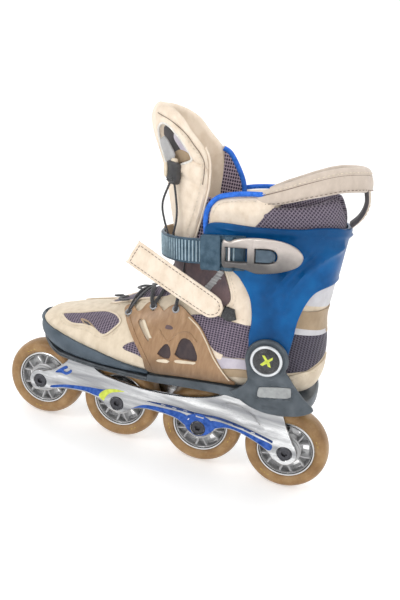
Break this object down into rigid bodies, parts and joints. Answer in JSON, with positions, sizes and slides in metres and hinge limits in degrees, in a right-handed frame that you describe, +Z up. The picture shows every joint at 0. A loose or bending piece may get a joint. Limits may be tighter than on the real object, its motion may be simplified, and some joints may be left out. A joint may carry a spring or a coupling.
{
  "type": "inline skate",
  "caption": "Left inline skate: wheels in a metal frame, a soft boot with an open tongue, a hinged cuff with a ratchet buckle, and an instep strap.",
  "frame": {"origin": "on the ground under the middle of the wheelbase and of the skate's width", "axes": "+X from toe to heel along the wheels, +Y towards the inner side of the foot, away from the buckle, +Z up"},
  "size_m": [0.3266, 0.1066, 0.322],
  "materials": {
    "tyre_urethane": "worn amber urethane, satin",
    "hub_plastic": "silver-grey moulded hub",
    "bearing_steel": "ground steel",
    "spacer_aluminium": "turned",
    "bolt_steel": "dark oiled steel",
    "frame_aluminium": "polished, with printed blue stripes",
    "chassis_plastic": "charcoal, scuffed",
    "rivet_plastic": "black disc in a silver ring",
    "rand_rubber": "blue-grey moulded rubber",
    "suede": "beige nubuck, stitched, soiled",
    "footbed_foam": "cloth-covered foam",
    "cage_plastic": "tan translucent moulding",
    "cuff_plastic": "blue moulding with a soft sheen, scratched",
    "mesh_fabric": "purple-grey open mesh",
    "padded_suede": "padded grey-beige suede",
    "ladder_plastic": "blue-grey moulding",
    "lever_plastic": "silver-beige moulding, worn",
    "lace_black": "braided",
    "toggle_black": "moulded",
    "clip_grey": "moulded",
    "plunger_cream": "moulded"
  },
  "bodies": {
    "chassis": {"chassis": "chassis_plastic", "frame": "frame_aluminium", "front_mount_bolt": "bolt_steel", "rear_mount_bolt": "bolt_steel", "toe_rand": "rand_rubber", "boot_upper": "suede", "footbed": "footbed_foam", "side_cage_outer": "cage_plastic", "side_cage_inner": "cage_plastic", "lace_zigzag": "lace_black", "strap_anchor": "lace_black", "pivot_rivet_outer": "rivet_plastic", "pivot_rivet_inner": "rivet_plastic", "axle_1": "bolt_steel", "axle_2": "bolt_steel", "axle_3": "bolt_steel", "axle_4": "bolt_steel", "spacer_1": "spacer_aluminium", "spacer_2": "spacer_aluminium", "spacer_3": "spacer_aluminium", "spacer_4": "spacer_aluminium"},
    "wheel_1": {"tyre_1": "tyre_urethane", "hub_1": "hub_plastic", "bearing_outer_side_1": "bearing_steel", "bearing_inner_side_1": "bearing_steel"},
    "wheel_2": {"tyre_2": "tyre_urethane", "hub_2": "hub_plastic", "bearing_outer_side_2": "bearing_steel", "bearing_inner_side_2": "bearing_steel"},
    "wheel_3": {"tyre_3": "tyre_urethane", "hub_3": "hub_plastic", "bearing_outer_side_3": "bearing_steel", "bearing_inner_side_3": "bearing_steel"},
    "wheel_4": {"tyre_4": "tyre_urethane", "hub_4": "hub_plastic", "bearing_outer_side_4": "bearing_steel", "bearing_inner_side_4": "bearing_steel"},
    "cuff": {"cuff": "cuff_plastic", "liner_collar": "mesh_fabric", "heel_loop": "padded_suede", "loop_tab": "padded_suede", "buckle_base": "ladder_plastic", "lever_pin": "bolt_steel", "strap_root": "suede", "strap_rivet": "bolt_steel"},
    "ankle_strap": {"ladder_strap": "ladder_plastic", "strap_pad": "suede"},
    "lever": {"buckle_lever": "lever_plastic"},
    "release_button": {"release_button": "ladder_plastic"},
    "pawl": {"ratchet_pawl": "bolt_steel"},
    "tongue": {"tongue": "suede", "tongue_gusset": "mesh_fabric", "lace_toggle": "toggle_black", "lace_clip": "clip_grey", "lace_loop": "lace_black"},
    "toggle_plunger": {"toggle_plunger": "plunger_cream"},
    "instep_strap": {"instep_strap": "suede"}
  },
  "joints": [
    {"name": "wheel_spin_1", "type": "hinge", "parent": "chassis", "child": "wheel_1", "pos_m": [-0.1245, 0, 0.039], "axis": [0, 1, 0], "continuous": true},
    {"name": "wheel_spin_2", "type": "hinge", "parent": "chassis", "child": "wheel_2", "pos_m": [-0.0415, 0, 0.039], "axis": [0, 1, 0], "continuous": true},
    {"name": "wheel_spin_3", "type": "hinge", "parent": "chassis", "child": "wheel_3", "pos_m": [0.0415, 0, 0.039], "axis": [0, 1, 0], "continuous": true},
    {"name": "wheel_spin_4", "type": "hinge", "parent": "chassis", "child": "wheel_4", "pos_m": [0.1245, 0, 0.039], "axis": [0, 1, 0], "continuous": true},
    {"name": "cuff_flex", "type": "hinge", "parent": "chassis", "child": "cuff", "pos_m": [0.093, 0, 0.135], "axis": [0, -1, 0], "range_deg": [-4, 7], "stiffness_Nm_per_rad": 6},
    {"name": "strap_swing", "type": "hinge", "parent": "cuff", "child": "ankle_strap", "pos_m": [0.04, 0.046, 0.216], "axis": [0.1736, 0, -0.9848], "range_deg": [0, 60]},
    {"name": "lever_open", "type": "hinge", "parent": "cuff", "child": "lever", "pos_m": [0.04591, -0.0512, 0.21704], "axis": [0.1736, 0, -0.9848], "range_deg": [0, 75]},
    {"name": "release_press", "type": "slide", "parent": "lever", "child": "release_button", "axis": [0, 1, 0], "range_m": [0, 0.0015], "stiffness_N_per_m": 400},
    {"name": "pawl_tilt", "type": "hinge", "parent": "lever", "child": "pawl", "pos_m": [0.08136, -0.0482, 0.22329], "axis": [0.1736, 0, -0.9848], "range_deg": [-1, 9]},
    {"name": "tongue_fold", "type": "hinge", "parent": "cuff", "child": "tongue", "pos_m": [0, 0, 0.206], "axis": [0, 1, 0], "range_deg": [-6, 9]},
    {"name": "toggle_press", "type": "slide", "parent": "tongue", "child": "toggle_plunger", "axis": [0, 0, -1], "range_m": [0, 0.0012], "stiffness_N_per_m": 300},
    {"name": "instep_strap_swing", "type": "hinge", "parent": "chassis", "child": "instep_strap", "pos_m": [0.047, -0.0462, 0.166], "axis": [0.3919, 0, 0.92], "range_deg": [0, 60]}
  ],
  "couplings": [
    {"joint": "pawl_tilt", "follows": "release_press", "rad_per_m": 100}
  ]
}
